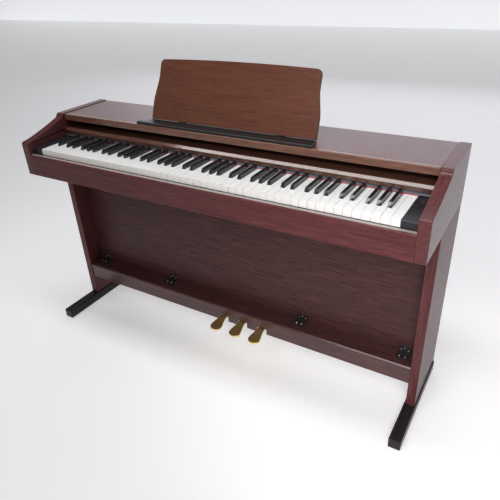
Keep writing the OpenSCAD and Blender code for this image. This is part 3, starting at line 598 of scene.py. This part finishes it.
# Cross-head screws, one at each point, each facing the way its point says
def makeScrewTree():
    tree, start, end = newGeometryTree("screwHeads", [
        ("Head Radius", "NodeSocketFloat", 0.004), ("Head Height", "NodeSocketFloat", 0.002),
        ("Recess Width", "NodeSocketFloat", 0.0009), ("Crown Share", "NodeSocketFloat", 0.62),
        ("Material", "NodeSocketMaterial", None)])
    crown = addNode(tree, "ShaderNodeMath", operation="MULTIPLY")
    link(tree, start.outputs["Head Radius"], crown.inputs[0])
    link(tree, start.outputs["Crown Share"], crown.inputs[1])
    head = addNode(tree, "GeometryNodeMeshCone", {"Vertices": 20, "Side Segments": 1})
    link(tree, start.outputs["Head Radius"], head.inputs["Radius Bottom"])
    link(tree, crown.outputs[0], head.inputs["Radius Top"])
    link(tree, start.outputs["Head Height"], head.inputs["Depth"])
    cutter = addNode(tree, "GeometryNodeMeshBoolean", operation="DIFFERENCE")
    link(tree, head.outputs["Mesh"], cutter.inputs["Mesh 1"])
    for wide in (0, 1):
        size = addNode(tree, "ShaderNodeCombineXYZ")
        link(tree, crown.outputs[0], size.inputs[wide])
        link(tree, start.outputs["Recess Width"], size.inputs[1 - wide])
        link(tree, start.outputs["Head Height"], size.inputs[2])
        bar = addNode(tree, "GeometryNodeMeshCube")
        link(tree, size.outputs["Vector"], bar.inputs["Size"])
        lift = addNode(tree, "ShaderNodeCombineXYZ")
        link(tree, start.outputs["Head Height"], lift.inputs[2])
        raised = addNode(tree, "GeometryNodeTransform")
        link(tree, bar.outputs["Mesh"], raised.inputs["Geometry"])
        link(tree, lift.outputs["Vector"], raised.inputs["Translation"])
        link(tree, raised.outputs["Geometry"], cutter.inputs["Mesh 2"])
    endTree(tree, start, end, cutter.outputs["Mesh"])
    return tree


# Round collars, one at each point, for the ring nuts of sockets
def makeCollarTree():
    tree, start, end = newGeometryTree("collars", [
        ("Ring Radius", "NodeSocketFloat", 0.0045), ("Wire Radius", "NodeSocketFloat", 0.001),
        ("Material", "NodeSocketMaterial", None)])
    ring = addNode(tree, "GeometryNodeCurvePrimitiveCircle", {"Resolution": 28}, mode="RADIUS")
    link(tree, start.outputs["Ring Radius"], ring.inputs["Radius"])
    endTree(tree, start, end, wireAlong(tree, start, ring.outputs["Curve"], capped=False))
    return tree


# A coil of wire between two heights
def makeCoilTree():
    tree, start, end = newGeometryTree("coilSpring", [
        ("Coil Radius", "NodeSocketFloat", 0.006), ("Wire Radius", "NodeSocketFloat", 0.0009),
        ("Turns", "NodeSocketFloat", 5.0), ("Height", "NodeSocketFloat", 0.02),
        ("Material", "NodeSocketMaterial", None)])
    coil = addNode(tree, "GeometryNodeCurveSpiral", {"Resolution": 28})
    link(tree, start.outputs["Turns"], coil.inputs["Rotations"])
    link(tree, start.outputs["Height"], coil.inputs["Height"])
    for label in ("Start Radius", "End Radius"):
        link(tree, start.outputs["Coil Radius"], coil.inputs[label])
    endTree(tree, start, end, wireAlong(tree, start, coil.outputs["Curve"], capped=True),
            faced=False)
    return tree


screwTree = makeScrewTree()
collarTree = makeCollarTree()
coilTree = makeCoilTree()


def grow(name, tree, points, facings, values, body):
    # Runs a Geometry Nodes tree on a few points and keeps the result as a plain mesh
    mesh = bpy.data.meshes.new(name + "Points")
    mesh.from_pydata([tuple(p) for p in points], [], [])
    facing = mesh.attributes.new("facing", "FLOAT_VECTOR", "POINT")
    for item, direction in zip(facing.data, facings):
        item.vector = direction
    source = bpy.data.objects.new(name + "Source", mesh)
    bpy.context.scene.collection.objects.link(source)
    modifier = source.modifiers.new("grow", "NODES")
    modifier.node_group = tree
    for item in tree.interface.items_tree:
        if item.in_out == "INPUT" and item.name in values:
            modifier[item.identifier] = values[item.name]
    piece = finished(source, name)
    piece.data.shade_smooth()
    piece.data.set_sharp_from_angle(angle=sharpAngle)
    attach(piece, body)
    return piece


# Screws of the four corner brackets: three in the upright leg, two in the foot
bracketScrews = {"spread": 0.0115, "footShare": 0.8, "lowUp": 0.0075, "highUp": 0.0135,
                 "fromFront": 0.009, "plate": 0.002, "radius": 0.0032, "height": 0.0022,
                 "recess": 0.0008}


def makeBracketScrews(values):
    points, facings = [], []
    for low, high in islands("corner_brackets"):
        middle = (low.x + high.x) / 2
        front = high.y - values["plate"]
        for step, up in ((-1, "lowUp"), (0, "highUp"), (1, "lowUp")):
            points.append((middle + step * values["spread"], front, low.z + values[up]))
            facings.append((0, -1, 0))
        for step in (-values["footShare"], values["footShare"]):
            points.append((middle + step * values["spread"], low.y + values["fromFront"],
                           low.z + values["plate"]))
            facings.append((0, 0, 1))
    grow("bracketScrews", screwTree, points, facings,
         {"Head Radius": values["radius"], "Head Height": values["height"],
          "Recess Width": values["recess"], "Material": materials["zincScrews"]},
         "case")


makeBracketScrews(bracketScrews)

# A thin pale sheet laid along the top of the key slip, under the keys' front ends: a painted
# reflection of the white keys in the slip's glossy top
slipEdging = {"thick": 0.0005, "sunk": 0.0004, "front": 0.004, "inset": 0.0008,
              "rear": 0.0004, "ends": 0.0002}


def makeSlipPaintedReflection(values):
    low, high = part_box("key_slip")
    mesh = bpy.data.meshes.new("slipEdging")
    work = bmesh.new()
    bmesh.ops.create_cube(work, size=1.0)
    corners = ((low.x + values["ends"], high.x - values["ends"]),
               (low.y + values["front"] + values["inset"], high.y - values["rear"]),
               (high.z - values["sunk"], high.z + values["thick"]))
    for vertex in work.verts:
        vertex.co = [corners[i][1] if vertex.co[i] > 0 else corners[i][0] for i in range(3)]
    work.to_mesh(mesh)
    work.free()
    mesh.materials.append(materials["slipEdge"])
    piece = bpy.data.objects.new("slipEdging", mesh)
    bpy.context.scene.collection.objects.link(piece)
    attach(piece, "case")


makeSlipPaintedReflection(slipEdging)

# Screws that hold the case floor, the grilles and the plates beneath
floorScrews = {"rows": 7, "fromEnd": 0.03, "fromEdge": 0.012, "fromRim": 0.006,
               "radius": 0.0038, "height": 0.0022, "recess": 0.0009}


def makeFloorScrews(values):
    low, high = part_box("bottom_board")
    points = []
    length = high.x - low.x - 2 * values["fromEnd"]
    for i in range(values["rows"]):
        x = low.x + values["fromEnd"] + length * i / (values["rows"] - 1)
        for y in (low.y + values["fromEdge"], high.y - values["fromEdge"]):
            points.append((x, y, low.z))
    for ringLow, ringHigh in islands("speaker_grilles"):
        centre = (ringLow + ringHigh) / 2
        reach = (ringHigh.x - ringLow.x) / 2 - values["fromRim"]
        for turn in (45, 135, 225, 315):
            points.append((centre.x + reach * math.cos(math.radians(turn)),
                           centre.y + reach * math.sin(math.radians(turn)), ringLow.z))
    plateLow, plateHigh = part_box("headphone_plate")
    for x in (plateLow.x + values["fromRim"], plateHigh.x - values["fromRim"]):
        points.append((x, (plateLow.y + plateHigh.y) / 2, plateLow.z))
    grow("floorScrews", screwTree, points, [(0, 0, -1)] * len(points),
         {"Head Radius": values["radius"], "Head Height": values["height"],
          "Recess Width": values["recess"], "Material": materials["paintedSteel"]},
         "case")


makeFloorScrews(floorScrews)

# Steel ring nuts of the sockets
socketNuts = {"ring": 0.0047, "wire": 0.0011}


def makeSocketNuts(values):
    points, facings = [], []
    for mount in frame["record"]["mounts"]:
        if mount["kind"] != "bore":
            continue
        axis = Vector(mount["axis"])
        place = Vector(mount["pos_m"])
        if axis.z < 0:
            place.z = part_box("headphone_plate")[0].z
        else:
            place.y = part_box("jack_panel")[1].y
        points.append(place)
        facings.append(axis)
    grow("socketNuts", collarTree, points, facings,
         {"Ring Radius": values["ring"], "Wire Radius": values["wire"],
          "Material": materials["brightSteel"]}, "case")


makeSocketNuts(socketNuts)

# Coil springs over the pedal levers' tails, up to their fixed tops
pedalSprings = {"wire": 0.0010, "turns": 5.5, "radius": 0.0058, "keep": 0.87}


def makePedalSpring(side, values):
    node = "pedal_spring_" + side
    low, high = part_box(node)
    middle = (low + high) / 2
    wire = values["wire"]
    piece = grow("pedalSpring" + side.title(), coilTree,
                 [(middle.x, middle.y, low.z + wire)], [(0, 0, 1)],
                 {"Coil Radius": values["radius"], "Wire Radius": wire,
                  "Turns": values["turns"], "Height": high.z - low.z - 2 * wire,
                  "Material": materials["brightSteel"]}, "case")
    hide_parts(node)
    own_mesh(piece)


for side in ("left", "middle", "right"):
    makePedalSpring(side, pedalSprings)
print("screws, painted slip reflection, nuts and springs made")

# Floor, backdrop and lights


def makePlane(name, materialName, corners):
    mesh = bpy.data.meshes.new(name)
    mesh.from_pydata(corners, [], [(0, 1, 2, 3)])
    mesh.materials.append(materials[materialName])
    plane = bpy.data.objects.new(name, mesh)
    bpy.context.scene.collection.objects.link(plane)


# The floor lies just under the feet, and the backdrop starts a little below it
studioSize = {"half": 14, "under": -0.0005, "behind": 9, "low": -0.2, "top": 9}


def makeStudio(values):
    half, under, behind = values["half"], values["under"], values["behind"]
    makePlane("floor", "floorPaint", [(-half, -half, under), (half, -half, under),
                                      (half, half, under), (-half, half, under)])
    low, top = values["low"], values["top"]
    makePlane("backdrop", "backdropCloth", [(half, behind, low), (-half, behind, low),
                                            (-half, behind, top), (half, behind, top)])


makeStudio(studioSize)

# An area light's size is its sides, and a spot's is its softness and its angle in degrees
studioLights = {
    "overhead": {"kind": "AREA", "place": (-0.25, -0.22, 2.15), "aim": (-0.25, -0.2, 0.7),
                 "size": (2.0, 0.32), "spread": 170, "power": 17, "color": (0.98, 0.99, 1.0)},
    "frontHigh": {"kind": "AREA", "place": (0.3, -1.75, 2.1), "aim": (0.75, 0.0, 0.55),
                  "size": (1.2, 0.8), "spread": 95, "power": 6.5, "color": (1.0, 0.98, 0.97)},
    "backdropBox": {"kind": "AREA", "place": (-0.2, 3.4, 2.5), "aim": (0.0, 0.0, 0.8),
                    "size": (7.0, 4.2), "spread": 180, "power": 50, "color": (0.92, 0.90, 1.0)},
    "rightKey": {"kind": "SPOT", "place": (1.1, -1.55, 1.25), "aim": (0.85, 0.0, 0.5),
                 "size": (0.3, 74), "power": 88, "color": (1.0, 0.96, 0.95)},
    "warmStrip": {"kind": "AREA", "place": (-1.3, -1.6, 1.25), "aim": (-0.2, 0.0, 0.72),
                  "size": (1.4, 0.14), "spread": 180, "power": 3.0, "color": (1.0, 0.74, 0.48)},
}


def makeLight(name, values):
    data = bpy.data.lights.new(name, values["kind"])
    if values["kind"] == "AREA":
        data.shape = "RECTANGLE"
        data.size, data.size_y = values["size"]
        data.spread = math.radians(values["spread"])
    else:
        data.shadow_soft_size = values["size"][0]
        data.spot_size = math.radians(values["size"][1])
        data.spot_blend = 1.0
    data.energy = values["power"]
    data.color = values["color"]
    light = bpy.data.objects.new(name, data)
    light.location = values["place"]
    direction = Vector(values["aim"]) - Vector(values["place"])
    light.rotation_euler = direction.to_track_quat("-Z", "Y").to_euler()
    bpy.context.scene.collection.objects.link(light)


for name, values in studioLights.items():
    makeLight(name, values)

surroundings = {"Color": (0.95, 0.97, 1.0, 1), "Strength": 0.06}
world = bpy.data.worlds.new("studio")
world.use_nodes = True
for key, value in surroundings.items():
    world.node_tree.nodes["Background"].inputs[key].default_value = value
bpy.context.scene.world = world
bpy.context.scene.view_settings.view_transform = "Standard"
print("floor, backdrop and lights made:", len(studioLights), "lights")
